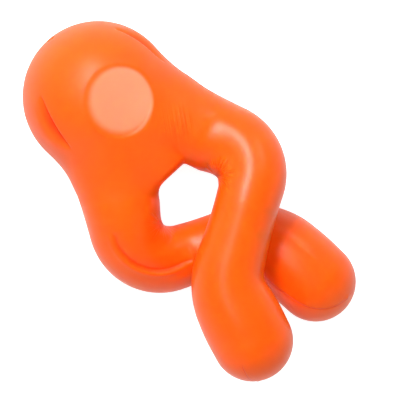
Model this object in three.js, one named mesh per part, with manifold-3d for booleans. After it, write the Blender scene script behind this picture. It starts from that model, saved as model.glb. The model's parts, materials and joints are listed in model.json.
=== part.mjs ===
// A treat-dispensing chew toy: a hollow round head whose mouth opens between two flexible legs.
// The legs are twisted over each other, which keeps a treat from sliding out of the mouth.
// The moulding flexes at the hips, knees, shins and ankles, so it is cut there into rigid lengths
// that meet in shallow ball seats.
// While modelling, X runs from the crown to the feet, Y towards the right leg and Z to the front.
// Lengths are millimetres and angles are degrees.
import * as THREE from "three";
import { mergeVertices } from "three/addons/utils/BufferGeometryUtils.js";
import Module from "manifold-3d";

// Head: a ball that tapers to a rounded lip, hollow inside for the treat
const HEAD_RADIUS = 31.2;
const HEAD_ROLL = 11.5; // the head's features turn this far towards the right leg
const LIP_X = 44.1; // lip plane, measured from the centre of the head
const LIP_ROUND = 2.5;
const LIP_WALL = 5;
const CAVITY_RADIUS = 20;
const MOUTH_RADIUS = 9;
const VENT_RADIUS = 1.6; // moulding vent in the crown
const VENT_DEPTH = 1.5;
const VENT_TILT = 12; // from the pole of the crown towards the front
const VENT_TURN = 3; // and towards the right leg

// Round flat pad on the front of the head
const PAD_RADIUS = 14;
const PAD_TILT = 17; // towards the feet

// Four crescent grip cuts on the sides of the head
const GILL_LENGTH = 24;
const GILL_WIDTH = 5.8;
const GILL_AZIMUTH = 55.5; // from the middle of the front and of the back
const GILL_X = -3.3;
const GILL_SLANT = 12;

// Legs: radii along the leg, shared by both, each from the one before it
const HIP_RADIUS = 17;
const ROOT_FLARE = 3.6;
const KNEE_TAPER = 2.95;
const SHIN_TAPER = 0.95;
const ANKLE_SWELL = 1.95;
const BALL_SWELL = 1.7;
const TOE_TAPER = 0.1;
const ROOT_RADIUS = HIP_RADIUS + ROOT_FLARE;
const KNEE_RADIUS = HIP_RADIUS - KNEE_TAPER;
const SHIN_RADIUS = KNEE_RADIUS - SHIN_TAPER;
const ANKLE_RADIUS = SHIN_RADIUS + ANKLE_SWELL;
const BALL_RADIUS = ANKLE_RADIUS + BALL_SWELL;
const TOE_RADIUS = BALL_RADIUS - TOE_TAPER;
const TOE_REACH = 15.8; // how far the round toe stands past the end of the foot
const BALL_SHARE = 0.4; // where the thickest part of the foot lies along it
const KNEE_INSIDE = 1.2; // bend radius left on the inside of a knee
const ANKLE_BEND_RADIUS = 24;
const ROOT_X = 17.5;
const ROOT_FILLET = 6; // where a leg grows out of the head
const LIP_FILLET = 1.2; // the same beside the lip
const FILLET_X = 24; // from the centre of the head, where the fillet starts to shrink
const THIGH_LENGTH = 36.3;
const HIP_SEAT_SETBACK = 12.5; // hip seat to the start of the knee bend
const SHIN_SEAT_SETBACK = 9; // end of the knee bend to the shin seat
const ANKLE_SEAT_SETBACK = 3; // start of the ankle bend to the middle of its ball

// How the two legs lie: side is the half of the head that a leg starts from and the way it is
// lifted where the legs cross
const RIGHT_POSE = {
  side: 1, rootY: 11.1, shinLength: 32.8, footLength: 17,
  headingDegrees: 26.6, kneeDegrees: 85.1, ankleDegrees: 43.4,
};
const LEFT_POSE = {
  side: -1, rootY: 9.4, shinLength: 25.4, footLength: 17.3,
  headingDegrees: 32.6, kneeDegrees: 96.4, ankleDegrees: 59.3,
};
const CROSS_CLEARANCE = 1.2;
const CROSS_RISE = 11; // end of the knee bend to the full lift of a leg
const FOOT_LIFT = 11.5;

// Smile-shaped step round the outside of each knee, on the front of the left leg and on the back
// of the right one: it starts on the thigh and ends on the shin
const SMILE_DEPTH = 1.2;
const SMILE_START = 1; // past the start of the knee bend
const SMILE_END = 6; // past the end of the knee bend
const SMILE_FROM_DEGREES = 58; // from the outside of the bend, at the thigh
const SMILE_TO_DEGREES = 72; // the same at the shin
const SMILE_FACE_DEGREES = 8; // round the leg, taken up by the step
const SMILE_FLOOR_DEGREES = 30; // round the leg, taken up by the floor behind the step
const SMILE_RUNOUT = 0.3; // by which the cut clears the skin where it ends

// Seats between the lengths of a leg
const SEAT_GAP = 0.4;
const HIP_CLEARANCE = 0.8; // kept free of the head's fillets past a hip seat
const ROOT_OVERLAP = 8; // the root's core, to either side of a hip seat before it is cut
const ROOT_INSET = 0.3; // by which that core is slimmer than the leg
const BALL_OVERSIZE = 1.16; // ball radius over leg radius where a leg bends
const DOME_OVERSIZE = 1.6; // the same where a leg only twists about its own length

// Facets
const AROUND_LEG = 26;
const SEAT_RINGS = 4;
const RING_PITCH = 5;
const TOE_RINGS = 6;
const SMILE_RINGS = 10;
const AROUND_HEAD = 48;
const HEAD_PITCH = 3;
const LIP_RINGS = 3;
const AROUND_VENT = 12;
const ARC_STEP = 12;
const THIGH_BEADS = 50;
const FLOOR_SAMPLES = 40;
const FLOOR_PASSES = 8;
const HALVINGS = 40;

const ORANGE = { color: 0xfd6a17, roughness: 0.45, metalness: 0 };

const wasm = await Module();
wasm.setup();

const radians = THREE.MathUtils.degToRad;
const FRONT = new THREE.Vector3(0, 0, 1);
const CROSS_LIFT = (SHIN_RADIUS + ANKLE_RADIUS + CROSS_CLEARANCE) / 2;

// Closed geometry to solid and back, for the cuts
function toSolid(geometry) {
  const bare = geometry.clone();
  bare.deleteAttribute("normal");
  bare.deleteAttribute("uv");
  const merged = mergeVertices(bare, 1e-4);
  return new wasm.Manifold(new wasm.Mesh({
    numProp: 3,
    vertProperties: new Float32Array(merged.attributes.position.array),
    triVerts: new Uint32Array(merged.index.array),
  }));
}

function toGeometry(solid) {
  const mesh = solid.getMesh();
  return indexedGeometry(mesh.vertProperties, mesh.triVerts);
}

function indexedGeometry(positions, indices) {
  const geometry = new THREE.BufferGeometry();
  geometry.setAttribute("position", new THREE.BufferAttribute(new Float32Array(positions), 3));
  geometry.setIndex(Array.from(indices));
  geometry.computeVertexNormals();
  return geometry;
}

// Closed skin over rows of points that go round a length, with a point at either end
function loft(rows, firstPole, lastPole) {
  const around = rows[0].length;
  const end = rows.length * around;
  const next = (j) => (j + 1) % around;
  const indices = [];
  for (let row = 0; row + around < end; row += around) {
    for (let j = 0; j < around; j += 1) {
      const a = row + j;
      const b = row + next(j);
      indices.push(a, b + around, b, a, a + around, b + around);
    }
  }
  for (let j = 0; j < around; j += 1) {
    indices.push(end, j, next(j));
    indices.push(end + 1, end - around + next(j), end - around + j);
  }
  const points = [...rows.flat(), firstPole, lastPole];
  return indexedGeometry(points.flatMap((p) => p.toArray()), indices);
}

// Points of a circular arc in a lathe profile, given as (radius, x)
function arc(centreX, centreRadius, radius, fromDegrees, toDegrees) {
  const steps = Math.max(2, Math.round(Math.abs(toDegrees - fromDegrees) / ARC_STEP));
  return Array.from({ length: steps + 1 }, (_, i) => {
    const angle = radians(THREE.MathUtils.lerp(fromDegrees, toDegrees, i / steps));
    return new THREE.Vector2(
      Math.max(0, centreRadius + radius * Math.sin(angle)),
      centreX + radius * Math.cos(angle),
    );
  });
}

function revolveAboutX(profile) {
  const geometry = new THREE.LatheGeometry(profile, AROUND_HEAD);
  geometry.rotateZ(-Math.PI / 2);
  return toSolid(geometry);
}

// Distance out of the head: a ball and a rounded lip, joined by the cone that touches both
function headDistance(x, out) {
  const lipX = LIP_X - LIP_ROUND;
  const lipRadius = MOUTH_RADIUS + LIP_WALL - LIP_ROUND;
  const reach = Math.hypot(lipX, lipRadius);
  const touch = Math.atan2(lipRadius, lipX) + Math.acos((HEAD_RADIUS - LIP_ROUND) / reach);
  const onBall = x * Math.sin(touch) < out * Math.cos(touch);
  const along = onBall ? Math.hypot(x, out) : x * Math.cos(touch) + out * Math.sin(touch);
  const side = along - HEAD_RADIUS + LIP_ROUND;
  const end = x - lipX;
  const inside = Math.min(Math.max(side, end), 0);
  return inside + Math.hypot(Math.max(side, 0), Math.max(end, 0)) - LIP_ROUND;
}

// Smaller of two distances, rounded off where they meet
function filleted(a, b, fillet) {
  const near = Math.max(fillet - Math.abs(a - b), 0) / fillet;
  return Math.min(a, b) - (near * near * fillet) / 4;
}

// Outside of the head with the roots of the legs, as far as the lip: rings round the axis of the
// head, each point found on a ray from the axis
function headSkin(legs) {
  function distance(p) {
    const head = headDistance(p.x, Math.hypot(p.y, p.z));
    const shrink = THREE.MathUtils.smoothstep(p.x, FILLET_X, LIP_X - LIP_ROUND);
    const fillet = THREE.MathUtils.lerp(ROOT_FILLET, LIP_FILLET, shrink);
    return Math.min(...legs.map((leg) => filleted(head, leg.thighDistance(p), fillet)));
  }

  function ringPoint(x, angle) {
    const way = new THREE.Vector3(0, -Math.cos(angle), Math.sin(angle));
    const at = (out) => new THREE.Vector3(x, 0, 0).addScaledVector(way, out);
    let near = 0;
    let far = 2 * HEAD_RADIUS;
    for (let i = 0; i < HALVINGS; i += 1) {
      const middle = (near + far) / 2;
      if (distance(at(middle)) < 0) {
        near = middle;
      } else {
        far = middle;
      }
    }
    return at(near);
  }

  const stations = arc(0, 0, HEAD_RADIUS, 180, 90).slice(1).map((p) => p.y);
  const steps = Math.ceil((LIP_X - LIP_ROUND) / HEAD_PITCH);
  for (let i = 1; i <= steps; i += 1) {
    stations.push(((LIP_X - LIP_ROUND) * i) / steps);
  }
  for (let i = 1; i <= LIP_RINGS; i += 1) {
    stations.push(LIP_X - LIP_ROUND + LIP_ROUND * Math.sin((Math.PI / 2) * (i / LIP_RINGS)));
  }
  const angles = Array.from({ length: AROUND_HEAD }, (_, j) => (2 * Math.PI * j) / AROUND_HEAD);
  const rows = stations.map((x) => angles.map((angle) => ringPoint(x, angle)));
  const crown = new THREE.Vector3(-HEAD_RADIUS, 0, 0);
  return toSolid(loft(rows, crown, new THREE.Vector3(LIP_X, 0, 0)));
}

// Room for the treat, with the mouth run on past the lip to clear the roots of the legs
function treatCavity() {
  const throat = THREE.MathUtils.radToDeg(Math.asin(MOUTH_RADIUS / CAVITY_RADIUS));
  return revolveAboutX([
    ...arc(0, 0, CAVITY_RADIUS, 180, throat),
    new THREE.Vector2(MOUTH_RADIUS, LIP_X + LIP_WALL),
    new THREE.Vector2(0, LIP_X + LIP_WALL),
  ]);
}

// Cutter for one crescent: a sloping floor that is deepest at a crisp straight edge and runs out
// of the ball on the side away from the pad, with ends that lean outwards
function gillCutter(azimuth, away) {
  const ring = Math.sqrt(HEAD_RADIUS ** 2 - GILL_X ** 2);
  const depth = HEAD_RADIUS - Math.sqrt(HEAD_RADIUS ** 2 - (GILL_LENGTH / 2) ** 2);
  const fall = HEAD_RADIUS - Math.sqrt(HEAD_RADIUS ** 2 - GILL_WIDTH ** 2);
  const slope = Math.atan2(depth - fall, GILL_WIDTH);
  const outline = new THREE.Shape([
    new THREE.Vector2(-GILL_LENGTH / 2, 0),
    new THREE.Vector2(GILL_LENGTH / 2, 0),
    new THREE.Vector2(GILL_LENGTH, GILL_LENGTH / 2),
    new THREE.Vector2(-GILL_LENGTH, GILL_LENGTH / 2),
  ]);
  const block = new THREE.ExtrudeGeometry(outline, { depth: 2 * GILL_WIDTH, bevelEnabled: false });
  block.rotateX(Math.PI / 2);
  block.translate(0, (1 + away) * GILL_WIDTH, 0);
  block.rotateX(away * slope);
  block.translate(0, 0, -depth);
  block.rotateZ(away * radians(GILL_SLANT));
  block.rotateY(Math.asin(GILL_X / HEAD_RADIUS));
  block.translate(GILL_X, 0, ring);
  block.rotateX(-radians(azimuth));
  return toSolid(block);
}

// Cutter that leaves the flat pad: a drum standing on the pad's plane, which runs out of the ball
// towards the crown and sinks into the cone towards the feet
function padCutter() {
  const height = HEAD_RADIUS;
  const drum = new THREE.CylinderGeometry(PAD_RADIUS, PAD_RADIUS, height, AROUND_HEAD);
  drum.rotateX(Math.PI / 2);
  drum.translate(0, 0, Math.sqrt(HEAD_RADIUS ** 2 - PAD_RADIUS ** 2) + height / 2);
  drum.rotateY(radians(PAD_TILT));
  drum.rotateX(-radians(HEAD_ROLL));
  return toSolid(drum);
}

// Blind vent beside the pole of the crown
function ventCutter() {
  const pin = new THREE.CylinderGeometry(VENT_RADIUS, VENT_RADIUS, 2 * VENT_DEPTH, AROUND_VENT);
  pin.rotateZ(Math.PI / 2);
  pin.translate(-HEAD_RADIUS, 0, 0);
  pin.rotateY(radians(VENT_TILT));
  pin.rotateZ(-radians(VENT_TURN));
  return toSolid(pin);
}

// Centre line and radius of one leg, by distance along it
function makeLeg(pose) {
  const { side } = pose;
  const kneeBendRadius = KNEE_RADIUS + KNEE_INSIDE;
  const kneeTurn = radians(pose.kneeDegrees);
  const ankleTurn = radians(pose.ankleDegrees);
  const stretches = [
    { length: THIGH_LENGTH, turn: 0 },
    { length: kneeBendRadius * kneeTurn, turn: -side * kneeTurn },
    { length: pose.shinLength, turn: 0 },
    { length: ANKLE_BEND_RADIUS * ankleTurn, turn: side * ankleTurn },
    { length: pose.footLength + TOE_REACH, turn: 0 },
  ];
  const kneeStart = THIGH_LENGTH;
  const kneeEnd = kneeStart + stretches[1].length;
  const ankleStart = kneeEnd + pose.shinLength;
  const ankleEnd = ankleStart + stretches[3].length;
  const toe = ankleEnd + pose.footLength;
  const kneeMiddle = (kneeStart + kneeEnd) / 2;
  const hipSeat = kneeStart - HIP_SEAT_SETBACK;
  const liftEnd = kneeEnd + CROSS_RISE;

  const stations = [
    [0, ROOT_RADIUS],
    [kneeStart / 2, HIP_RADIUS],
    [kneeMiddle, KNEE_RADIUS],
    [kneeEnd + pose.shinLength / 2, SHIN_RADIUS],
    [(ankleStart + ankleEnd) / 2, ANKLE_RADIUS],
    [ankleEnd + pose.footLength * BALL_SHARE, BALL_RADIUS],
    [toe, TOE_RADIUS],
  ];
  const girth = new THREE.CubicInterpolant(
    stations.map((station) => station[0]),
    stations.map((station) => station[1]),
    1,
    new Float32Array(1),
  );

  function radius(s) {
    if (s <= toe) {
      return girth.evaluate(s)[0];
    }
    const past = Math.min(1, (s - toe) / TOE_REACH);
    return TOE_RADIUS * Math.sqrt(1 - past * past);
  }

  function lift(s) {
    const rise = CROSS_LIFT * THREE.MathUtils.smoothstep(s, hipSeat, liftEnd);
    const drop = (CROSS_LIFT - FOOT_LIFT) * THREE.MathUtils.smoothstep(s, liftEnd, toe);
    return side * (rise - drop);
  }

  function point(s) {
    let x = ROOT_X;
    let y = side * pose.rootY;
    let heading = side * radians(pose.headingDegrees);
    let left = s;
    for (const [i, { length, turn }] of stretches.entries()) {
      const last = i === stretches.length - 1;
      const step = last ? left : Math.min(left, length);
      if (turn === 0) {
        x += step * Math.cos(heading);
        y += step * Math.sin(heading);
      } else {
        const curve = turn / length;
        const next = heading + curve * step;
        x += (Math.sin(next) - Math.sin(heading)) / curve;
        y -= (Math.cos(next) - Math.cos(heading)) / curve;
        heading = next;
      }
      left -= step;
      if (left <= 0) {
        break;
      }
    }
    return new THREE.Vector3(x, y, lift(s));
  }

  const thighBeads = Array.from({ length: THIGH_BEADS + 1 }, (_, i) => {
    const s = (kneeStart * i) / THIGH_BEADS;
    return { centre: point(s), radius: radius(s) };
  });

  function thighDistance(p) {
    return Math.min(...thighBeads.map((bead) => p.distanceTo(bead.centre) - bead.radius));
  }

  function tangent(s) {
    const reach = 0.05;
    return point(s + reach).sub(point(Math.max(0, s - reach))).normalize();
  }

  // Point on the skin, or grow outside it: angle 0 lies in the plane of the leg, 90 degrees on
  // the front
  function skin(s, angle, grow = 0) {
    const along = tangent(s);
    const up = FRONT.clone().addScaledVector(along, -FRONT.dot(along)).normalize();
    const across = new THREE.Vector3().crossVectors(along, up);
    const size = radius(s) + grow;
    return point(s)
      .addScaledVector(across, size * Math.cos(angle))
      .addScaledVector(up, size * Math.sin(angle));
  }

  return {
    side, point, tangent, radius, skin, thighDistance,
    hipSeat, kneeStart, kneeMiddle, kneeEnd,
    shinSeat: kneeEnd + SHIN_SEAT_SETBACK,
    ankleSeat: ankleStart + ANKLE_SEAT_SETBACK,
    ankleStart, ankleEnd, toe, tip: toe + TOE_REACH,
  };
}

// A ball seat is a sphere that cuts the leg on its near side. Where the leg bends, the sphere
// sits on the centre line; where it twists, a wider sphere sits further along the twist axis.
function ballSeat(leg, s) {
  const radius = leg.radius(s) * BALL_OVERSIZE;
  return { centre: leg.point(s), radius, from: s - 1.8 * radius, to: s };
}

function domeSeat(leg, s) {
  const girth = leg.radius(s);
  const radius = girth * DOME_OVERSIZE;
  const ahead = Math.sqrt(radius ** 2 - girth ** 2);
  const centre = leg.point(s).addScaledVector(leg.tangent(s), ahead);
  return { centre, radius, from: s - girth, to: s + girth };
}

// Distance along the leg at which its skin crosses a seat's sphere
function crossing(leg, seat, radius, angle, grow) {
  let near = Math.max(0, seat.from);
  let far = seat.to;
  for (let i = 0; i < HALVINGS; i += 1) {
    const middle = (near + far) / 2;
    if (leg.skin(middle, angle, grow).distanceTo(seat.centre) > radius) {
      near = middle;
    } else {
      far = middle;
    }
  }
  return (near + far) / 2;
}

// One length of a leg between two seats: lofted skin, a domed start and a hollow end.
// Without a second seat it ends at the toe.
// A grown length is the room that the length needs in its neighbour.
function legLength(leg, startSeat, endSeat, grow = 0) {
  const angles = Array.from({ length: AROUND_LEG }, (_, j) => (2 * Math.PI * j) / AROUND_LEG);
  const startRadius = startSeat.radius + grow;
  const endRadius = endSeat ? endSeat.radius + SEAT_GAP : 0;
  const skin = (s, angle) => leg.skin(s, angle, grow);
  const starts = angles.map((a) => crossing(leg, startSeat, startRadius, a, grow));
  const ends = angles.map((a) => (endSeat ? crossing(leg, endSeat, endRadius, a, grow) : leg.toe));
  const longest = Math.max(...angles.map((_, j) => ends[j] - starts[j]));
  const rings = Math.max(2, Math.ceil(longest / RING_PITCH));
  const rows = [];
  const addRow = (pointAt) => rows.push(angles.map(pointAt));

  function seatCap(seat, radius, rim) {
    const pole = new THREE.Vector3();
    rim.forEach((p) => pole.add(p.clone().sub(seat.centre).normalize()));
    pole.normalize();
    const onBall = (j, share) => rim[j].clone().sub(seat.centre).normalize()
      .lerp(pole, share).normalize().multiplyScalar(radius).add(seat.centre);
    return { pole: pole.clone().multiplyScalar(radius).add(seat.centre), onBall };
  }

  const startRim = angles.map((angle, j) => skin(starts[j], angle));
  const startCap = seatCap(startSeat, startRadius, startRim);
  for (let m = 1; m < SEAT_RINGS; m += 1) {
    addRow((_, j) => startCap.onBall(j, 1 - m / SEAT_RINGS));
  }
  for (let k = 0; k <= rings; k += 1) {
    addRow((angle, j) => skin(THREE.MathUtils.lerp(starts[j], ends[j], k / rings), angle));
  }
  let lastPole = leg.point(leg.tip);
  if (endSeat) {
    const endRim = angles.map((angle, j) => skin(ends[j], angle));
    const endCap = seatCap(endSeat, endRadius, endRim);
    lastPole = endCap.pole;
    for (let m = 1; m < SEAT_RINGS; m += 1) {
      addRow((_, j) => endCap.onBall(j, m / SEAT_RINGS));
    }
  } else {
    for (let m = 1; m < TOE_RINGS; m += 1) {
      const past = TOE_REACH * Math.sin((Math.PI / 2) * (m / TOE_RINGS));
      addRow((angle) => skin(leg.toe + past, angle));
    }
  }

  return loft(rows, startCap.pole, lastPole);
}

// Cutter for the smile round a knee: a wedge that rises out of the skin towards both of its ends
function smileCutter(leg) {
  const turned = leg.side < 0 ? 0 : Math.PI;
  const clear = 3 * SMILE_DEPTH;
  const rows = [];
  for (let i = 0; i <= SMILE_RINGS; i += 1) {
    const share = i / SMILE_RINGS;
    const s = THREE.MathUtils.lerp(leg.kneeStart + SMILE_START, leg.kneeEnd + SMILE_END, share);
    const raise = (SMILE_DEPTH + SMILE_RUNOUT) * (1 - Math.sin(Math.PI * share));
    const edge = THREE.MathUtils.lerp(SMILE_FROM_DEGREES, SMILE_TO_DEGREES, share);
    const brow = edge - SMILE_FACE_DEGREES / 2;
    const foot = edge + SMILE_FACE_DEGREES;
    const far = foot + SMILE_FLOOR_DEGREES;
    const outline = [
      [brow, clear],
      [far, clear],
      [far, raise + SMILE_RUNOUT],
      [foot, raise - SMILE_DEPTH],
      [brow, raise + SMILE_DEPTH / 2],
    ];
    rows.push(outline.map(([angle, grow]) => leg.skin(s, radians(angle) + turned, grow)));
  }
  const middle = (row) => row.reduce((sum, p) => sum.add(p), new THREE.Vector3())
    .divideScalar(row.length);
  return toSolid(loft(rows, middle(rows[0]), middle(rows.at(-1))));
}

// Normal of the floor that touches the back of the head, the under leg's shin and its foot
function floorNormal(leg) {
  const normal = FRONT.clone();
  const lowest = (from, to) => {
    const samples = Array.from({ length: FLOOR_SAMPLES + 1 }, (_, i) => (
      THREE.MathUtils.lerp(from, to, i / FLOOR_SAMPLES)
    ));
    const height = (s) => leg.point(s).dot(normal) - leg.radius(s);
    return samples.reduce((best, s) => (height(s) < height(best) ? s : best));
  };
  for (let pass = 0; pass < FLOOR_PASSES; pass += 1) {
    const shin = lowest(leg.kneeMiddle, leg.shinSeat);
    const foot = lowest(leg.ankleEnd, leg.toe);
    const a = leg.point(shin);
    const b = leg.point(foot);
    const stepA = leg.radius(shin) - HEAD_RADIUS;
    const stepB = leg.radius(foot) - HEAD_RADIUS;
    const e = new THREE.Vector3().crossVectors(a, b);
    const flat = new THREE.Vector3().crossVectors(b, e).multiplyScalar(stepA)
      .addScaledVector(new THREE.Vector3().crossVectors(e, a), stepB)
      .divideScalar(e.lengthSq());
    const rest = Math.sqrt(1 - flat.lengthSq()) * Math.sign(e.z);
    normal.copy(flat).addScaledVector(e.normalize(), rest);
  }
  return normal;
}

// Assembly
const toy = new THREE.Group();

function addPiece(name, geometry, hinge) {
  const piece = new THREE.Mesh(geometry, new THREE.MeshStandardMaterial(ORANGE));
  piece.name = name;
  if (hinge) {
    piece.userData.hinge = hinge;
  }
  toy.add(piece);
}

const right = makeLeg(RIGHT_POSE);
const left = makeLeg(LEFT_POSE);

function headShell() {
  let shell = headSkin([right, left]).subtract(padCutter()).subtract(ventCutter());
  for (const middle of [HEAD_ROLL, HEAD_ROLL + 180]) {
    for (const away of [-1, 1]) {
      shell = shell.subtract(gillCutter(middle + away * GILL_AZIMUTH, away));
    }
  }
  for (const leg of [right, left]) {
    const [back, hip, clear, ahead] = [-ROOT_OVERLAP, 0, HIP_CLEARANCE, ROOT_OVERLAP]
      .map((step) => domeSeat(leg, leg.hipSeat + step));
    shell = shell.add(toSolid(legLength(leg, back, ahead, -ROOT_INSET)))
      .subtract(toSolid(legLength(leg, hip, null, SEAT_GAP)))
      .subtract(toSolid(legLength(leg, clear, null, HIP_CLEARANCE)));
  }
  return toGeometry(shell.subtract(treatCavity()));
}

addPiece("head_shell", headShell());

for (const [name, leg] of [["right", right], ["left", left]]) {
  const hip = domeSeat(leg, leg.hipSeat);
  const knee = ballSeat(leg, leg.kneeMiddle);
  const shin = domeSeat(leg, leg.shinSeat);
  const ankle = ballSeat(leg, leg.ankleSeat);
  const thighWay = leg.tangent(leg.hipSeat);
  const shinWay = leg.tangent(leg.shinSeat);
  const footWay = leg.tangent(leg.toe);
  const smile = smileCutter(leg);
  const withSmile = (geometry) => toGeometry(toSolid(geometry).subtract(smile));
  addPiece(`${name}_thigh`, withSmile(legLength(leg, hip, knee)), {
    point: leg.point(leg.hipSeat), axis: thighWay.clone().negate(),
  });
  addPiece(`${name}_shin`, withSmile(legLength(leg, knee, shin)), {
    point: knee.centre, axis: new THREE.Vector3().crossVectors(shinWay, thighWay).normalize(),
  });
  addPiece(`${name}_ankle`, legLength(leg, shin, ankle), {
    point: leg.point(leg.shinSeat), axis: shinWay,
  });
  addPiece(`${name}_foot`, legLength(leg, ankle, null), {
    point: ankle.centre, axis: new THREE.Vector3().crossVectors(footWay, shinWay).normalize(),
  });
}

// Lay the toy on its back and put the origin under the middle of its box
toy.quaternion.setFromUnitVectors(floorNormal(left), FRONT);
const part = new THREE.Group();
part.add(toy);
part.updateMatrixWorld(true);
const box = new THREE.Box3().setFromObject(part, true);
const middle = box.getCenter(new THREE.Vector3());
toy.position.set(-middle.x, -middle.y, -box.min.z);

export default part;
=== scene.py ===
import json
import math
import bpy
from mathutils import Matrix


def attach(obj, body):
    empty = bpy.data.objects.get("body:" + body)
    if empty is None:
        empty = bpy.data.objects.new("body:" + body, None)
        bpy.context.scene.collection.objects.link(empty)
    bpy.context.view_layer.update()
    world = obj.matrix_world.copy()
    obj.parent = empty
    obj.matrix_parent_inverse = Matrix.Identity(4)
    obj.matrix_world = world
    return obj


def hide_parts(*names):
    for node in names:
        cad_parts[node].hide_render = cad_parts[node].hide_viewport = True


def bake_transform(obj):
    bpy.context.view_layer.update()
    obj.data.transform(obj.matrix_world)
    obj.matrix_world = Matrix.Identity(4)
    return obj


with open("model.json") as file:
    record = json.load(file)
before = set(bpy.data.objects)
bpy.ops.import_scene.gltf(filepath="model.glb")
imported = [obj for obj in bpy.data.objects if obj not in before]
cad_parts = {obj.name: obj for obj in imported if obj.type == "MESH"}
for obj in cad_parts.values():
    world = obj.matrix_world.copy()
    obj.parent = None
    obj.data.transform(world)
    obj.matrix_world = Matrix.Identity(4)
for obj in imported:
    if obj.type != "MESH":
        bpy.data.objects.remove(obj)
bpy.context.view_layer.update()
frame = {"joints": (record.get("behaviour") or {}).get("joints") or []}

from types import SimpleNamespace

import bmesh
import bpy
import numpy as np
import openvdb
from mathutils import Matrix, Vector

# The two legs: solid round arms of soft orange elastomer, moulded in one with the head and twisted
# over each other by hand. Each has a straight thigh, a tight knee, a shin, an ankle and a round foot.
# Lengths are millimetres in the toy's own directions: x to the feet, y to the right leg, z to the front.
root_radius, hip_radius, knee_radius, shin_radius = 20.6, 17.0, 14.05, 13.1
ankle_radius, ball_radius, toe_radius = 15.05, 16.75, 16.65
root_x, thigh_length, ball_share, toe_reach = 17.5, 36.3, 0.4, 15.8
knee_inside = 1.2
knee_bend, ankle_bend = knee_radius + knee_inside, 24.0
cross_gap = 1.2
cross_lift, foot_lift = (shin_radius + ankle_radius + cross_gap) / 2, 11.5
hip_setback, shin_setback, ankle_setback, lift_setback = 12.5, 9.0, 3.0, 11.0
step = 0.5


def rise(value, start, end):
    """Runs smoothly from 0 at start to 1 at end."""
    t = np.clip((value - start) / (end - start), 0, 1)
    return t * t * (3 - 2 * t)


def girth(s, places, radii):
    """A leg's radius at each distance s along it: a smooth curve through the radii at a few places."""
    places, radii = np.array(places), np.array(radii)
    secant = np.diff(radii) / np.diff(places)
    slope = np.zeros(len(radii))
    slope[1:-1] = (secant[1:] + secant[:-1]) / 2
    i = np.clip(np.searchsorted(places, s) - 1, 0, len(secant) - 1)
    width = places[i + 1] - places[i]
    t = (s - places[i]) / width
    return (radii[i] * (2 * t**3 - 3 * t**2 + 1) + radii[i + 1] * (3 * t**2 - 2 * t**3)
            + width * (slope[i] * (t**3 - 2 * t**2 + t) + slope[i + 1] * (t**3 - t**2)))


def lay_leg(side, root_y, heading, knee, shin, ankle, foot):
    """A leg from its root to its toe: its middle line, its radii, and where its bends and seats are."""
    leg = SimpleNamespace(side=side, knee_start=thigh_length, heading=side * math.radians(heading))
    leg.inside = side * np.array([math.sin(leg.heading), -math.cos(leg.heading), 0])
    leg.knee_end = leg.knee_start + knee_bend * math.radians(knee)
    leg.ankle_start = leg.knee_end + shin
    leg.ankle_end = leg.ankle_start + ankle_bend * math.radians(ankle)
    leg.toe = leg.ankle_end + foot
    leg.hip_seat = leg.knee_start - hip_setback
    leg.knee_seat = (leg.knee_start + leg.knee_end) / 2
    leg.shin_seat = leg.knee_end + shin_setback
    leg.ankle_seat = leg.ankle_start + ankle_setback
    leg.s = np.arange(0, leg.toe + toe_reach - toe_radius, step)
    shin_heading = heading - knee
    foot_heading = shin_heading + ankle
    bends = [0, leg.knee_start, leg.knee_end, leg.ankle_start, leg.ankle_end, leg.toe]
    turns = [heading, heading, shin_heading, shin_heading, foot_heading, foot_heading]
    way = side * np.radians(np.interp(leg.s + step / 2, bends, turns))
    x = root_x + step * (np.cumsum(np.cos(way)) - np.cos(way))
    y = side * root_y + step * (np.cumsum(np.sin(way)) - np.sin(way))
    lift_end = leg.knee_end + lift_setback
    z = side * (cross_lift * rise(leg.s, leg.hip_seat, lift_end)
                - (cross_lift - foot_lift) * rise(leg.s, lift_end, leg.toe))
    leg.centre = np.stack([x, y, z], 1)
    tangent = np.gradient(leg.centre, axis=0)
    leg.tangent = tangent / np.linalg.norm(tangent, axis=1)[:, None]
    leg.radius = girth(
        leg.s,
        [0, leg.knee_start / 2, leg.knee_seat, leg.knee_end + shin / 2,
         (leg.ankle_start + leg.ankle_end) / 2, leg.ankle_end + ball_share * foot, leg.toe],
        [root_radius, hip_radius, knee_radius, shin_radius, ankle_radius, ball_radius, toe_radius])
    return leg


def on_line(leg, s, what="centre"):
    """The middle of a leg, or the way it runs, at the distance s along it."""
    values = getattr(leg, what)
    return np.array([np.interp(s, leg.s, values[:, i]) for i in range(3)])


right = lay_leg(side=1, root_y=11.1, heading=26.6, knee=85.1, shin=32.8, ankle=43.4, foot=17.0)
left = lay_leg(side=-1, root_y=9.4, heading=32.6, knee=96.4, shin=25.4, ankle=59.3, foot=17.3)
legs = {"right": right, "left": left}

# How the toy lies: the hinge points that the frame gives, matched to the same points of the legs
mm_per_m = 1000
seats = {"hip_twist": "hip_seat", "knee_straighten": "knee_seat",
         "shin_twist": "shin_seat", "ankle_straighten": "ankle_seat"}
hinge_points = {joint["name"]: np.array(joint["pos_m"]) for joint in frame["joints"]}
pairs = [(on_line(leg, getattr(leg, seat)), hinge_points[f"{name}_{motion}"] * mm_per_m)
         for name, leg in legs.items() for motion, seat in seats.items()]
toy_points = np.array([own for own, _ in pairs])
lying_points = np.array([given for _, given in pairs])
spread = (toy_points - toy_points.mean(0)).T @ (lying_points - lying_points.mean(0))
own_ways, _, given_ways = np.linalg.svd(spread)
unmirrored = np.diag([1, 1, np.linalg.det(own_ways @ given_ways)])
turn = (own_ways @ unmirrored @ given_ways).T
shift = lying_points.mean(0) - turn @ toy_points.mean(0)


def lying(points):
    """Points of the toy, in metres, where the toy lies."""
    return (np.asarray(points) @ turn.T + shift) / mm_per_m


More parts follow.
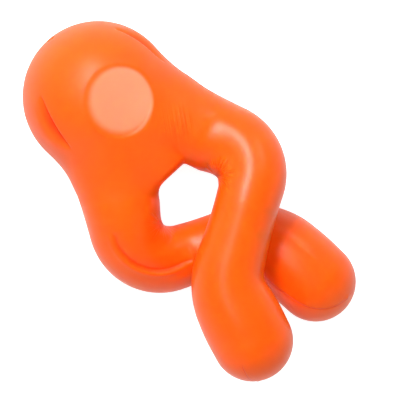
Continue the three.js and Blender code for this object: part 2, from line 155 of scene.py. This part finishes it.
# Head: the hollow ball of the moulding, drawn out to a lip round the treat mouth. It has four crescent
# grip cuts, a round flat pad on the front and a vent at the crown, and it flows into both legs.
head_radius, lip_x, lip_round, lip_wall = 31.2, 44.1, 2.5, 5.0
cavity_radius, mouth_radius, head_roll = 20.0, 9.0, math.radians(11.5)
pad_radius, pad_tilt = 14.0, math.radians(17)
pad_height = math.sqrt(head_radius**2 - pad_radius**2)
pad_turn = Matrix.Rotation(-head_roll, 3, "X") @ Matrix.Rotation(pad_tilt, 3, "Y")
pad_way = np.array(pad_turn @ Vector((0, 0, 1)))
cut_length, cut_width, cut_bite, cut_x = 24.0, 5.8, 0.7, -3.3
cut_azimuth, cut_slant = math.radians(55.5), math.radians(12)
vent_radius, vent_depth, vent_tilt, vent_turn = 1.6, 2.5, math.radians(12), math.radians(3)
root_fillet, right_crotch, left_crotch = 6.0, 1.2, 5.0
fillet_x, throat_fillet, lip_fillet = 24.0, 4.0, 1.6
pad_edge, cut_edge, cut_runout, runout_from = 2.0, 0.4, 1.2, 1.5
knee_fillet, least_fillet, inside_near, inside_far = 5.0, 0.1, 3.0, 10.0
leg_gap, section_reach = 0.9, 12.0
voxel, field_reach, head_room, field_band = 0.6, 10.0, 30.0, 3.0
field_low, field_high = np.array([-35.0, -48.0, -35.0]), np.array([137.0, 48.0, 35.0])
field_size = np.ceil((field_high - field_low) / voxel).astype(int)
field_x, field_y, field_z = (np.float32(field_low[i] + voxel * np.arange(field_size[i])) for i in range(3))


def join(a, b, fillet):
    """Two solids run together with a fillet. A solid is the distance out of its skin, at each place."""
    h = np.clip(fillet - np.abs(a - b), 0, None) / fillet
    return np.minimum(a, b) - h * h * fillet / 4


def cut(a, b, fillet):
    """The solid a with b cut out of it, and the edge of the cut rounded."""
    return -join(-a, b, fillet)


def leg_field(leg):
    """A leg as a solid: round about its middle line, with the inner corner of the knee filled."""
    upper, lower = (np.full(field_size, field_reach, np.float32) for _ in range(2))
    for s, centre, radius in zip(leg.s, leg.centre, leg.radius):
        field = upper if s < leg.knee_seat else lower
        first = np.maximum(0, (centre - radius - field_reach - field_low) / voxel).astype(int)
        last = ((centre + radius + field_reach - field_low) / voxel).astype(int) + 2
        near = tuple(slice(a, b) for a, b in zip(first, last))
        lines = zip((field_x, field_y, field_z), near, centre)
        dx, dy, dz = (np.square(line[part] - np.float32(c)) for line, part, c in lines)
        distance = np.sqrt(dx[:, None, None] + dy[None, :, None] + dz) - np.float32(radius)
        np.minimum(field[near], distance, out=field[near])
    middle = on_line(leg, leg.knee_start) + knee_bend * leg.inside
    from_bend = np.hypot(field_x[:, None] - middle[0], field_y - middle[1])
    fillet = np.float32(least_fillet + knee_fillet * (1 - rise(from_bend, inside_near, inside_far)))
    return join(upper, lower, fillet[:, :, None])


def plane_field(x, normal, offset):
    """Distance of each place past a plane, for the part of the field at x."""
    level = (normal[0] * x)[:, None, None] + (normal[1] * field_y)[None, :, None]
    return level + normal[2] * field_z - offset


def head_field(x):
    """The head as a solid, for the part of the field at x: ball and lip, less pad, cuts and vent."""
    lip = np.array([lip_x - lip_round, mouth_radius + lip_wall - lip_round])
    touch = math.atan2(lip[1], lip[0]) + math.acos((head_radius - lip_round) / np.hypot(*lip))
    out = np.sqrt(np.square(field_y)[:, None] + np.square(field_z))[None]
    along = x[:, None, None]
    ball = np.sqrt(along**2 + out**2) - head_radius
    cone = along * math.cos(touch) + out * math.sin(touch) - head_radius
    sides = np.where(along * math.sin(touch) < out * math.cos(touch), ball, cone) + lip_round
    end = along - lip_x + lip_round
    field = np.minimum(np.maximum(sides, end), 0) - lip_round
    field = field + np.hypot(np.maximum(sides, 0), np.maximum(end, 0))

    above = plane_field(x, pad_way, 0)
    from_middle = np.sqrt(np.maximum(along**2 + out**2 - above**2, 0))
    field = cut(field, np.maximum(pad_height - above, from_middle - pad_radius), pad_edge)

    depth = cut_bite + head_radius - math.sqrt(head_radius**2 - (cut_length / 2)**2)
    fall = head_radius - math.sqrt(head_radius**2 - cut_width**2)
    slope = math.atan2(depth - fall, cut_width)
    ring = math.sqrt(head_radius**2 - cut_x**2)
    for middle in (head_roll, head_roll + math.pi):
        for away in (-1, 1):
            into_cut = (Matrix.Rotation(-middle - away * cut_azimuth, 4, "X")
                        @ Matrix.Translation((cut_x, 0, ring))
                        @ Matrix.Rotation(math.asin(cut_x / head_radius), 4, "Y")
                        @ Matrix.Rotation(away * cut_slant, 4, "Z")
                        @ Matrix.Translation((0, 0, -depth))
                        @ Matrix.Rotation(away * slope, 4, "X")).inverted()
            wall = -away * plane_field(x, into_cut[1][:3], -into_cut[1][3])
            bed = -plane_field(x, into_cut[2][:3], -into_cut[2][3])
            ends = np.abs(plane_field(x, into_cut[0][:3], -into_cut[0][3])) - cut_length / 2 + bed
            runout = np.float32(cut_edge + cut_runout * rise(-wall, runout_from, cut_width))
            field = cut(field, np.maximum(np.maximum(wall, bed), ends), runout)

    vent_place = Matrix.Rotation(-vent_turn, 3, "Z") @ Matrix.Rotation(vent_tilt, 3, "Y")
    ahead = plane_field(x, vent_place @ Vector((-1, 0, 0)), 0)
    beside = np.sqrt(np.maximum(along**2 + out**2 - ahead**2, 0))
    vent = np.maximum(beside - vent_radius, np.abs(ahead - head_radius) - vent_depth)
    return cut(field, vent, cut_edge)


def cavity_field(x):
    """The room for the treat and the way in from the mouth, for the part of the field at x."""
    out = np.sqrt(np.square(field_y)[:, None] + np.square(field_z))[None]
    along = x[:, None, None]
    room = np.sqrt(along**2 + out**2) - cavity_radius
    throat = np.maximum(np.maximum(out - mouth_radius, along - lip_x - lip_wall), -along)
    return join(room, throat, throat_fillet)


arms = [leg_field(right), leg_field(left)]
moulding = np.minimum(*arms)
crossed = field_x > lip_x + lip_wall
between = leg_gap / 2 - np.abs(arms[0] - arms[1])[crossed] / 2
moulding[crossed] = np.maximum(moulding[crossed], between)
head_part = field_x < lip_x + head_room
head_x = field_x[head_part]
head_solid = head_field(head_x)
shrink = rise(head_x, fillet_x, lip_x - lip_round)
for arm, crotch in zip(arms, (right_crotch, left_crotch)):
    fillet = np.float32(root_fillet + (crotch - root_fillet) * shrink)[:, None, None]
    moulding[head_part] = np.minimum(moulding[head_part], join(head_solid, arm[head_part], fillet))
moulding[head_part] = cut(moulding[head_part], cavity_field(head_x), lip_fillet)
grid = openvdb.FloatGrid(background=field_band)
grid.copyFromArray(np.clip(moulding, -field_band, field_band).astype(np.float32))
points, quads = grid.convertToQuads(isovalue=0.0)
skin = SimpleNamespace(co=field_low + voxel * np.array(points, float), faces=np.array(quads, int))


def face_normals(co, faces):
    """The way each four-cornered face looks, as long as twice its area."""
    return np.cross(co[faces[:, 2]] - co[faces[:, 0]], co[faces[:, 3]] - co[faces[:, 1]])


def smooth_normals(co, faces, least=1e-12):
    """The way the skin looks at each point: the mean of the faces round it."""
    normal = np.zeros_like(co)
    looks = face_normals(co, faces)
    for corner in range(4):
        for axis in range(3):
            normal[:, axis] += np.bincount(faces[:, corner], looks[:, axis], len(co))
    return normal / np.maximum(np.linalg.norm(normal, axis=1), least)[:, None]


if np.einsum("ij,ij->", skin.co[skin.faces[:, 0]], face_normals(skin.co, skin.faces)) < 0:
    skin.faces = skin.faces[:, ::-1]
skin.normal = smooth_normals(skin.co, skin.faces)


def along_leg(leg, co, batch=4000):
    """For each point, the distance along the leg and the distance out of the leg's skin."""
    place, out = np.zeros(len(co)), np.zeros(len(co))
    for first in range(0, len(co), batch):
        part = co[first:first + batch]
        gap = np.linalg.norm(part[:, None] - leg.centre[None], axis=2) - leg.radius
        best = gap.argmin(1)
        beyond = np.einsum("ij,ij->i", part - leg.centre[best], leg.tangent[best])
        place[first:first + batch] = leg.s[best] + np.clip(beyond, -step, step)
        out[first:first + batch] = gap[np.arange(len(part)), best]
    return place, out


s_right, out_right = along_leg(right, skin.co)
s_left, out_left = along_leg(left, skin.co)
skin.s = np.where(out_right < out_left, s_right, s_left)
skin.right = (out_right < out_left).astype(float)
skin.rims = []


def past(leg, piece, s, square_to=None):
    """How far each point of a piece lies past a leg's section at s, square to the leg there or elsewhere."""
    way = on_line(leg, s if square_to is None else square_to, "tangent")
    flat = (piece.co - on_line(leg, s)) @ way
    value = np.where(np.abs(piece.s - s) < section_reach, flat, piece.s - s)
    own = piece.right > 0.5 if leg.side > 0 else piece.right < 0.5
    return np.where(own, value, -1.0)


def part_at(piece, value, least=1e-6):
    """Parts a piece where value passes zero: the part with value below, then the part with value above."""
    value = np.where(np.abs(value) < least, least, value)
    signs = np.sign(value)
    crossings = {}

    def crossing(a, b):
        return crossings.setdefault((min(a, b), max(a, b)), len(value) + len(crossings))

    quads = np.array([face for face in piece.faces if len(face) == 4])
    others = [list(face) for face in piece.faces if len(face) != 4]
    side = signs[quads].sum(1)
    mixed = quads[np.abs(side) < 4].tolist() + others
    halves = []
    for sign in (-1, 1):
        kept = quads[side == 4 * sign].tolist()
        for face in mixed:
            shape = []
            for a, b in zip(face, face[1:] + face[:1]):
                if signs[a] == sign:
                    shape.append(a)
                if signs[a] != signs[b]:
                    shape.append(crossing(a, b))
            if len(shape) > 2:
                kept.append(shape)
        halves.append(kept)

    a, b = np.array(list(crossings)).T
    t = value[a] / (value[a] - value[b])
    full = {}
    for name in ("co", "normal", "s", "right"):
        values = getattr(piece, name)
        share = t[:, None] if values.ndim == 2 else t
        full[name] = np.concatenate([values, values[a] * (1 - share) + values[b] * share])
    full["normal"] /= np.linalg.norm(full["normal"], axis=1)[:, None]
    new_rim = range(len(value), len(value) + len(crossings))

    made = []
    for kept in halves:
        used = np.unique([i for face in kept for i in face])
        renumber = np.full(len(full["co"]), -1)
        renumber[used] = np.arange(len(used))
        half = SimpleNamespace(**{name: values[used] for name, values in full.items()})
        half.faces = [renumber[face].tolist() for face in kept]
        rims = [{int(i) for i in renumber[list(rim)] if i >= 0} for rim in (*piece.rims, new_rim)]
        half.rims = [rim for rim in rims if rim]
        made.append(half)
    return made


def noise_in(material, scale, detail):
    """Soft noise over the piece, by place."""
    nodes, links = material.node_tree.nodes, material.node_tree.links
    node = nodes.new("ShaderNodeTexNoise")
    node.inputs["Scale"].default_value = scale
    node.inputs["Detail"].default_value = detail
    links.new(nodes.new("ShaderNodeTexCoord").outputs["Object"], node.inputs["Vector"])
    return node.outputs["Fac"]


def bump_in(material, height, most):
    """Raises the skin by height, up to most millimetres, on top of the bumps that it has already."""
    nodes, links = material.node_tree.nodes, material.node_tree.links
    bump = nodes.new("ShaderNodeBump")
    bump.inputs["Distance"].default_value = most / mm_per_m
    links.new(height, bump.inputs["Height"])
    target = nodes["Principled BSDF"].inputs["Normal"]
    if target.links:
        links.new(target.links[0].from_socket, bump.inputs["Normal"])
    links.new(bump.outputs["Normal"], target)


def drawn(material, name):
    """What is drawn on the skin under a name."""
    layer = material.node_tree.nodes.new("ShaderNodeAttribute")
    layer.attribute_name = name
    return layer.outputs["Fac"]


def lines_in(material, place, strength, pitch, depth):
    """Fine uneven lines: place runs across them, in millimetres, and strength says where they show."""
    nodes, links = material.node_tree.nodes, material.node_tree.links
    lines = nodes.new("ShaderNodeTexNoise")
    lines.noise_dimensions = "1D"
    lines.inputs["Scale"].default_value = 1 / pitch
    lines.inputs["Detail"].default_value = 1
    links.new(drawn(material, place), lines.inputs["W"])
    faded = nodes.new("ShaderNodeMath")
    faded.operation = "MULTIPLY"
    links.new(lines.outputs["Fac"], faded.inputs[0])
    links.new(drawn(material, strength), faded.inputs[1])
    bump_in(material, faded.outputs["Value"], depth)


def tint(material, mask, colour):
    """Another colour of skin where the mask shows."""
    nodes, links = material.node_tree.nodes, material.node_tree.links
    shader = nodes["Principled BSDF"]
    mixed = nodes.new("ShaderNodeMix")
    mixed.data_type = "RGBA"
    links.new(mask, mixed.inputs["Factor"])
    links.new(shader.inputs["Base Color"].links[0].from_socket, mixed.inputs["A"])
    mixed.inputs["B"].default_value = colour
    links.new(mixed.outputs["Result"], shader.inputs["Base Color"])


def elastomer(name, dullness, dullness_range=0.06):
    """Coloured-through soft moulding: satin orange with faint clouding and a fine moulded grain."""
    material = bpy.data.materials.new(name)
    material.use_nodes = True
    nodes, links = material.node_tree.nodes, material.node_tree.links
    shader = nodes["Principled BSDF"]
    shader.inputs["IOR"].default_value = 1.38
    shader.inputs["Subsurface Weight"].default_value = 0.45
    shader.inputs["Subsurface Radius"].default_value = (1.0, 0.18, 0.05)
    shader.inputs["Subsurface Scale"].default_value = 0.004
    cloud = nodes.new("ShaderNodeValToRGB")
    darker, lighter = cloud.color_ramp.elements
    darker.position, darker.color = 0.3, (0.97, 0.104, 0.002, 1)
    lighter.position, lighter.color = 0.7, (0.98, 0.116, 0.003, 1)
    links.new(noise_in(material, scale=45, detail=3), cloud.inputs["Fac"])
    links.new(cloud.outputs["Color"], shader.inputs["Base Color"])
    satin = nodes.new("ShaderNodeMapRange")
    satin.inputs["To Min"].default_value = dullness
    satin.inputs["To Max"].default_value = dullness + dullness_range
    links.new(noise_in(material, scale=160, detail=2), satin.inputs["Value"])
    links.new(satin.outputs["Result"], shader.inputs["Roughness"])
    bump_in(material, noise_in(material, scale=1800, detail=2), most=0.01)
    return material


def finish_piece(name, piece, material, **drawings):
    """The Blender object of one piece: smooth skin, and a flat end at each place where it is parted."""
    co, faces = list(piece.co), list(piece.faces)
    corners = [piece.normal[i] for face in piece.faces for i in face]
    for rim in piece.rims:
        edges = [(a, b) for face in piece.faces for a, b in zip(face, face[1:] + face[:1])
                 if a in rim and b in rim]
        middle = piece.co[list(rim)].mean(0)
        looks = sum(np.cross(piece.co[b] - middle, piece.co[a] - middle) for a, b in edges)
        looks = looks / np.linalg.norm(looks)
        for a, b in edges:
            faces.append([b, a, len(co)])
            corners += [looks] * 3
        co.append(middle)
    mesh = bpy.data.meshes.new(name)
    mesh.from_pydata(lying(co).tolist(), [], faces)
    mesh.polygons.foreach_set("use_smooth", [True] * len(faces))
    mesh.normals_split_custom_set((np.array(corners) @ turn.T).tolist())
    for drawing, values in drawings.items():
        layer = mesh.attributes.new(drawing, "FLOAT", "POINT")
        on_ends = np.zeros(len(co) - len(values))
        layer.data.foreach_set("value", np.append(values, on_ends).astype(np.float32))
    mesh.materials.append(material)
    made = bpy.data.objects.new(name, mesh)
    bpy.context.scene.collection.objects.link(made)
    return made


hip_cut_setback = 12.7
hip_cut = thigh_length - hip_cut_setback
rest, right_arm = part_at(skin, past(right, skin, hip_cut))
head, left_arm = part_at(rest, past(left, rest, hip_cut))

# Painted highlight: the pad is painted pale, paler to the right, with a soft edge. Painted shade darkens the
# cuts and the vent.
pad_highlight_colour, deep_colour = (0.92, 0.27, 0.14, 1), (0.9, 0.05, 0.002, 1)
highlight_margin, highlight_edge, highlight_lean, highlight_least = 0.6, 2.8, 1.2, 0.85
deep_from, deep_to, deep_end = 0.4, 2.4, 5.0
above = head.co @ pad_way
on_pad = head.co - np.outer(above, pad_way)
from_middle = np.linalg.norm(on_pad, axis=1)
edge = highlight_edge - highlight_lean * on_pad[:, 1] / np.maximum(from_middle, 1)
frosted = np.where(above > 0, rise(pad_radius + highlight_margin - from_middle, 0, edge), 0)
frosted *= highlight_least + (1 - highlight_least) * rise(on_pad[:, 1], -pad_radius, pad_radius)
# Painted shade: a deeper colour down in the cuts and the vent, but not on the pad.
sunk = head_radius - np.linalg.norm(head.co, axis=1)
shaded = np.where(frosted > 0, 0, rise(sunk, deep_from, deep_to)) * (sunk < deep_end)

# Flow marks of the moulding beside the right hip: where they lie and the way across them
flow_across, flow_middle = np.array([0.549, 0.836, 0]), np.array([30.4, 15.0, 0])
flow_along = np.cross([0, 0, 1], flow_across)
flow_reach, flow_pitch, line_depth = 6.0, 1.3, 0.9
from_flow = head.co - flow_middle
flow = np.exp(-(from_flow @ flow_across / flow_reach)**2 - (from_flow @ flow_along / flow_reach)**2)
flow = np.where(head.co[:, 2] > 0, flow, 0)

head_material = elastomer("head_elastomer", dullness=0.4)
lines_in(head_material, "across", "flow", flow_pitch, line_depth)
# The head's colour gets painted shade in the cuts and the vent, and a painted highlight on the pad.
tint(head_material, drawn(head_material, "deep"), deep_colour)
tint(head_material, drawn(head_material, "frosted"), pad_highlight_colour)
head_skin = finish_piece(
    "head_skin", head, head_material,
    deep=shaded, frosted=frosted, across=head.co @ flow_across, flow=flow)
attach(head_skin, "head")
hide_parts("head_shell")

# Thighs: the short straight lengths below the hips, in the same moulding as the head. They are solid
# elastomer, and twist along their length when the legs are turned out of each other.
thigh_cut_setback = 5.2
thigh_cut = thigh_length - thigh_cut_setback
ring_pitch = 0.1
leg_dullness = 0.3
plain = elastomer("leg_elastomer", leg_dullness)
uncut = {"right": right_arm, "left": left_arm}


def span(piece, base, way):
    """Start and end, along a direction, of the stretch between a piece's two parted ends."""
    reach = [(piece.co[list(rim)] - base) @ way for rim in piece.rims]
    return base + way * reach[0].max(), base + way * reach[-1].min()


def ring_across(piece, start, end):
    """Cuts the skin into fine rings between start and end, so that it stays smooth when it is twisted."""
    mesh = bmesh.new()
    normal = mesh.verts.layers.float_vector.new("normal")
    corners = [mesh.verts.new(point) for point in piece.co]
    for corner, way in zip(corners, piece.normal):
        corner[normal] = way
    for face in piece.faces:
        mesh.faces.new([corners[i] for i in face])
    rings = int(np.linalg.norm(end - start) / ring_pitch)
    for share in np.arange(1, rings) / rings:
        everything = mesh.verts[:] + mesh.edges[:] + mesh.faces[:]
        bmesh.ops.bisect_plane(mesh, geom=everything, plane_co=start + (end - start) * share,
                               plane_no=end - start)
    mesh.verts.index_update()
    piece.co = np.array([corner.co for corner in mesh.verts])
    piece.normal = np.array([corner[normal].normalized() for corner in mesh.verts])
    piece.faces = [[corner.index for corner in face.verts] for face in mesh.faces]
    mesh.free()


for name, leg in legs.items():
    thigh, uncut[name] = part_at(uncut[name], past(leg, uncut[name], thigh_cut, leg.hip_seat))
    start, end = span(thigh, on_line(leg, leg.hip_seat), on_line(leg, leg.hip_seat, "tangent"))
    ring_across(thigh, start, end)
    thigh_skin = finish_piece(f"{name}_thigh_skin", thigh, plain)
    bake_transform(thigh_skin)
    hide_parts(f"{name}_thigh")

# Knees and shins: the tight bends, pressed into fine folds inside, with a smile-shaped step moulded
# round the outside. The step shows on the front of the left knee and on the back of the right one.
smile_depth, smile_face, smile_floor, smile_ease = 1.7, 1.3, 8.0, 1.5
smile_lead, smile_tail, smile_shade = 4.0, 6.0, 0.8
smile_from, smile_to = math.radians(67), math.radians(74)
lip_height, lip_width = 0.4, 1.0
fold_strength = {"right": 1.0, "left": 0.35}
fold_pitch, fold_radius = 1.1, 8.0


def round_leg(leg, piece):
    """Angle of each point round its leg: 0 on the outside of the bend's plane, 90 degrees in front."""
    centre = np.stack([np.interp(piece.s, leg.s, leg.centre[:, i]) for i in range(3)], 1)
    way = np.stack([np.interp(piece.s, leg.s, leg.tangent[:, i]) for i in range(3)], 1)
    up = np.array([0, 0, 1.0]) - way * way[:, 2:]
    up /= np.linalg.norm(up, axis=1)[:, None]
    side = np.cross(way, up)
    out = piece.co - centre
    return np.arctan2(np.einsum("ij,ij->i", out, up), np.einsum("ij,ij->i", out, side))


def press(piece, depth, least=1e-4):
    """Moves the skin inwards by depth and gives the moved part its new normals."""
    piece.co = piece.co - piece.normal * depth[:, None]
    quads = np.array([face for face in piece.faces if len(face) == 4])
    fresh = smooth_normals(piece.co, quads)
    moved = np.abs(depth) > least
    near = np.zeros(len(piece.co), bool)
    near[np.unique(quads[moved[quads].any(1)])] = True
    for rim in piece.rims:
        near[list(rim)] = False
    piece.normal = np.where(near[:, None], fresh, piece.normal)


knee_material = elastomer("knee_elastomer", leg_dullness)
lines_in(knee_material, "place", "strength", fold_pitch, line_depth)
# Painted shade darkens the knee at the foot of the smile-shaped step.
tint(knee_material, drawn(knee_material, "deep"), deep_colour)
for name, leg in legs.items():
    shin, uncut[name] = part_at(uncut[name], past(leg, uncut[name], leg.shin_seat))
    turned = round_leg(leg, shin) - (math.pi if leg.side > 0 else 0)
    turned = np.mod(turned + math.pi, 2 * math.pi) - math.pi
    smile_length = smile_lead + leg.knee_end - leg.knee_start + smile_tail
    share = np.clip((shin.s - leg.knee_start + smile_lead) / smile_length, 0, 1)
    smile = np.sqrt(np.sin(math.pi * share))
    from_edge = (turned - smile_from - (smile_to - smile_from) * share) * knee_radius
    runs_out = np.clip(1 - (from_edge - smile_face) / smile_floor, 0, 1) ** smile_ease
    lip = lip_height * np.exp(-((from_edge + lip_width) / lip_width) ** 2)
    press(shin, smile * (smile_depth * rise(from_edge, 0, smile_face) * runs_out - lip))
    # Painted shade: a deeper colour along the foot of the step.
    shade = smile * np.exp(-((from_edge - smile_face) / smile_shade) ** 2)
    from_bend = shin.co - on_line(leg, leg.knee_start) - knee_bend * leg.inside
    place = np.arctan2(from_bend[:, 1], from_bend[:, 0]) * fold_radius
    inside = 1 - rise(np.hypot(from_bend[:, 0], from_bend[:, 1]), inside_near, inside_far)
    shin_skin = finish_piece(
        f"{name}_shin_skin", shin, knee_material,
        deep=shade, place=place, strength=fold_strength[name] * inside)
    chord = on_line(leg, leg.knee_end) - on_line(leg, leg.knee_start)
    chord = chord / np.linalg.norm(chord)
    start, end = span(shin, on_line(leg, leg.knee_seat), chord)
    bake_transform(shin_skin)
    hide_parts(f"{name}_shin")

# Ankles: the slim lengths where the legs cross and press on each other, in the same moulding.
# They twist along their length, so that a foot can be turned by hand.
ankle_length = 9.5
for name, leg in legs.items():
    ankle_cut = leg.shin_seat + ankle_length
    ankle, uncut[name] = part_at(uncut[name], past(leg, uncut[name], ankle_cut))
    ankle_skin = finish_piece(f"{name}_ankle_skin", ankle, plain)
    start, end = span(ankle, on_line(leg, leg.shin_seat), on_line(leg, leg.shin_seat, "tangent"))
    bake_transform(ankle_skin)
    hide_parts(f"{name}_ankle")

# Feet: the round ends of the legs, solid elastomer and the heaviest part. A fine line is left along them
# by the two halves of the mould, with a small nub on it at each toe, where the moulding was filled.
nub_height, nub_radius, bend_zone = 0.5, 1.1, 8.5
parting_way = {"right": (-0.56, -0.74, -0.36), "left": (-0.24, 0.39, 0.89)}
parting_offset = {"right": 0.2, "left": 6.3}
shown_from, shown_fade = {"right": 5.0, "left": -22.0}, 4.0
mould_line_width, mould_line_depth = 0.3, 0.2


def mould_line_in(material):
    """The mould's line: "offset" is drawn as the distance to it, and "shown" as how clear it is."""
    nodes, links = material.node_tree.nodes, material.node_tree.links
    from_line = nodes.new("ShaderNodeMath")
    from_line.operation = "ABSOLUTE"
    links.new(drawn(material, "offset"), from_line.inputs[0])
    line = nodes.new("ShaderNodeMapRange")
    line.interpolation_type = "SMOOTHSTEP"
    line.inputs["From Min"].default_value = mould_line_width
    line.inputs["From Max"].default_value = 0.0
    links.new(from_line.outputs["Value"], line.inputs["Value"])
    links.new(drawn(material, "shown"), line.inputs["To Max"])
    bump_in(material, line.outputs["Result"], -mould_line_depth)
    # Painted shade darkens the mould's line, as in a fine groove.
    tint(material, line.outputs["Result"], deep_colour)


foot_material = elastomer("foot_elastomer", leg_dullness)
mould_line_in(foot_material)
for name, leg in legs.items():
    foot = uncut[name]
    tip_way = leg.tangent[-1]
    from_toe = foot.co - leg.centre[-1]
    parting = np.array(parting_way[name])
    nub_way = tip_way - parting * (tip_way @ parting)
    nub_way /= np.linalg.norm(nub_way)
    nub = parting * parting_offset[name] + nub_way * math.sqrt(toe_radius**2 - parting_offset[name]**2)
    from_nub = np.linalg.norm(from_toe - nub, axis=1)
    press(foot, -nub_height * np.exp(-(from_nub / nub_radius) ** 2))
    offset = from_toe @ parting - parting_offset[name]
    shown = rise(from_toe @ tip_way, shown_from[name], shown_from[name] + shown_fade)
    foot_skin = finish_piece(f"{name}_foot_skin", foot, foot_material, offset=offset, shown=shown)
    bend = on_line(leg, leg.ankle_seat)
    way = on_line(leg, leg.ankle_seat, "tangent")
    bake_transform(foot_skin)
    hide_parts(f"{name}_foot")

# Floor: the plain white studio table that the toy lies on. The camera sees it as white with the toy's
# shadow on it, and the toy mirrors it dimly. Its size, and the lamps' places below, are in metres.
floor_reach = 3.0
seen_glow, mirrored_glow = 0.85, 0.4
floor_corners = [(floor_reach * x, floor_reach * y, 0) for x, y in ((-1, -1), (1, -1), (1, 1), (-1, 1))]
floor_mesh = bpy.data.meshes.new("floor")
floor_mesh.from_pydata(floor_corners, [], [(0, 1, 2, 3)])
floor = bpy.data.objects.new("floor", floor_mesh)
bpy.context.scene.collection.objects.link(floor)
table_white = bpy.data.materials.new("studio_table")
table_white.use_nodes = True
table_nodes, table_links = table_white.node_tree.nodes, table_white.node_tree.links
table_shader = table_nodes["Principled BSDF"]
table_shader.inputs["Base Color"].default_value = (0.65, 0.65, 0.65, 1)
table_shader.inputs["Roughness"].default_value = 0.9
table_shader.inputs["Specular IOR Level"].default_value = 0.0
table_shader.inputs["Emission Color"].default_value = (1, 1, 1, 1)
rays = table_nodes.new("ShaderNodeLightPath")
in_mirror, dimmed, glow = (table_nodes.new("ShaderNodeMath") for _ in range(3))
table_links.new(rays.outputs["Is Glossy Ray"], in_mirror.inputs[0])
table_links.new(rays.outputs["Is Transmission Ray"], in_mirror.inputs[1])
dimmed.operation = "MULTIPLY"
dimmed.inputs[1].default_value = mirrored_glow
table_links.new(in_mirror.outputs["Value"], dimmed.inputs[0])
glow.operation = "MULTIPLY_ADD"
glow.inputs[1].default_value = seen_glow
table_links.new(rays.outputs["Is Camera Ray"], glow.inputs[0])
table_links.new(dimmed.outputs["Value"], glow.inputs[2])
table_links.new(glow.outputs["Value"], table_shader.inputs["Emission Strength"])
floor_mesh.materials.append(table_white)

# Light: a dim white room, a long soft box above the toy, a square one behind the camera on the left and
# one to the upper right. Four fills, below, left and in front, are too dull to be mirrored.
world = bpy.data.worlds.new("studio")
world.use_nodes = True
sky_nodes, sky_links = world.node_tree.nodes, world.node_tree.links
height = sky_nodes.new("ShaderNodeSeparateXYZ")
sky_links.new(sky_nodes.new("ShaderNodeTexCoord").outputs["Generated"], height.inputs["Vector"])
sky = sky_nodes.new("ShaderNodeValToRGB")
walls, ceiling = sky.color_ramp.elements
walls.position, walls.color = 0.05, (0.9, 0.9, 0.9, 1)
ceiling.position, ceiling.color = 0.7, (0.08, 0.08, 0.08, 1)
sky.color_ramp.elements.new(0.4).color = (0.16, 0.16, 0.16, 1)
sky_links.new(height.outputs["Z"], sky.inputs["Fac"])
sky_links.new(sky.outputs["Color"], sky_nodes["Background"].inputs["Color"])
bpy.context.scene.world = world

front = turn @ np.array([0, 0, 1.0])
picture_right = turn @ np.array([0.676, 0.736, 0])
picture_up = turn @ np.array([-0.736, 0.676, 0])
aim = lying([59.7, 2.05, 6.0])


def soft_box(name, place, size, power, mirrored=True):
    """A lamp that looks at the toy from a place to the right, up and out of the picture."""
    lamp = bpy.data.lights.new(name, "AREA")
    lamp.shape = "RECTANGLE"
    lamp.size, lamp.size_y = size
    lamp.energy = power
    box = bpy.data.objects.new(name, lamp)
    bpy.context.scene.collection.objects.link(box)
    to_right, up, out = place
    to_box = Vector(picture_right * to_right + picture_up * up + front * out)
    box.location = Vector(aim) + to_box
    out_way = to_box.normalized()
    side_way = Vector(picture_up).cross(out_way).normalized()
    facing = Matrix((side_way, out_way.cross(side_way), out_way)).transposed()
    box.rotation_mode = "QUATERNION"
    box.rotation_quaternion = facing.to_quaternion()
    box.visible_glossy = mirrored


soft_box("strip_above", (-0.14, 0.37, 0.55), (0.14, 0.42), power=4.2)
soft_box("box_front", (-0.5, 0.05, 1.7), (0.3, 0.3), power=2.4)
soft_box("box_right", (0.27, 0.43, 0.32), (0.16, 0.16), power=0.4)
soft_box("box_low", (0.38, -0.31, 0.3), (0.3, 0.3), power=0.35, mirrored=False)
soft_box("screen_left", (-0.17, 0.17, 0.28), (0.25, 0.25), power=0.4, mirrored=False)
soft_box("screen_below", (-0.22, -0.33, 0.22), (0.3, 0.3), power=0.25, mirrored=False)
soft_box("screen_front", (0.15, 0.1, 1.9), (0.5, 0.5), power=9.0, mirrored=False)

# Camera: a long lens, straight on to the front of the toy, and turned as in the photograph, with the
# head at the upper left and the feet at the lower right.
distance, frame_width = 1.6, 0.1642
lens = bpy.data.cameras.new("camera")
lens.sensor_width = 36
lens.lens = lens.sensor_width * distance / frame_width
camera = bpy.data.objects.new("camera", lens)
bpy.context.scene.collection.objects.link(camera)
pose = Matrix((picture_right, picture_up, front)).transposed().to_4x4()
pose.translation = Vector(aim + front * distance)
camera.matrix_world = pose
bpy.context.scene.camera = camera
bpy.context.scene.view_settings.view_transform = "Standard"
